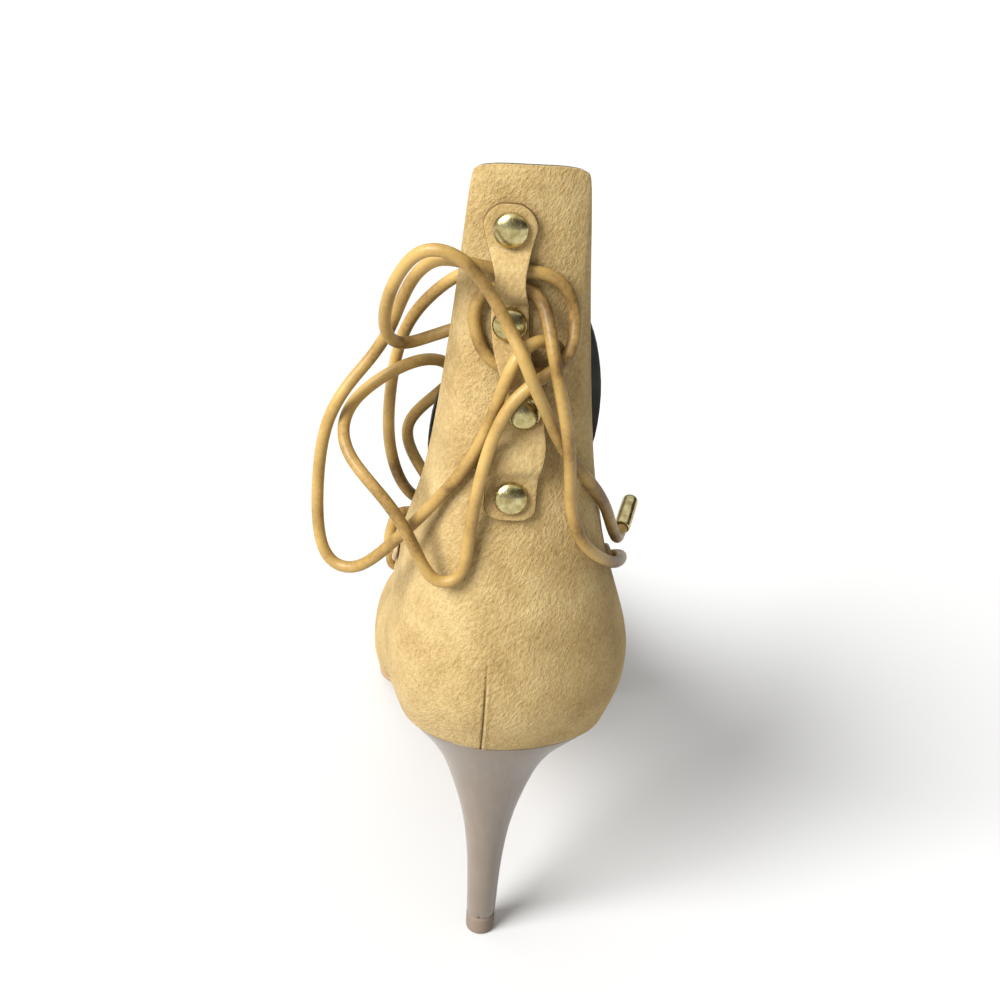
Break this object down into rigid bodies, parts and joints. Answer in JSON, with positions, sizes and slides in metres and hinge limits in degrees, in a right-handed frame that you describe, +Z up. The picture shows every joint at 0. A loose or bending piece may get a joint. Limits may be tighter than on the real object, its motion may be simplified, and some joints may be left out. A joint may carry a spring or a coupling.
{
  "type": "gladiator heel",
  "caption": "Suede lace-up stiletto shoe for the right foot, with a tall back tab, a riveted strip that carries the lace, rimmed eyelets and a slim lacquered heel.",
  "frame": {"origin": "middle of the heel's resting face, on the floor", "axes": "+Y to the toe, +X to the outer side of the right foot, +Z up"},
  "size_m": [0.0901, 0.2314, 0.2315],
  "materials": {
    "suede": "short streaky nap",
    "lining": "matt",
    "sole": "smooth",
    "lacquer": "satin lacquer",
    "top_piece": "matt",
    "brass": "pale, polished",
    "rim": "satin",
    "lace": "smooth round lace"
  },
  "bodies": {
    "root": {"upper": "suede", "back_strip": "suede", "insole": "lining", "outsole": "sole", "heel": "lacquer", "top_piece": "top_piece", "rivet_1": "brass", "rivet_2": "brass", "rivet_3": "brass", "rivet_4": "brass", "eyelet_inner_1": "rim", "eyelet_inner_2": "rim", "eyelet_inner_3": "rim", "eyelet_inner_4": "rim", "eyelet_outer_1": "rim", "eyelet_outer_2": "rim", "eyelet_outer_3": "rim", "eyelet_outer_4": "rim", "lace_bar": "lace", "lace_cross_1": "lace", "lace_cross_2": "lace", "lace_cross_3": "lace", "lace_inner": "lace", "lace_outer": "lace", "aglet_inner": "brass", "aglet_outer": "brass"}
  },
  "joints": []
}
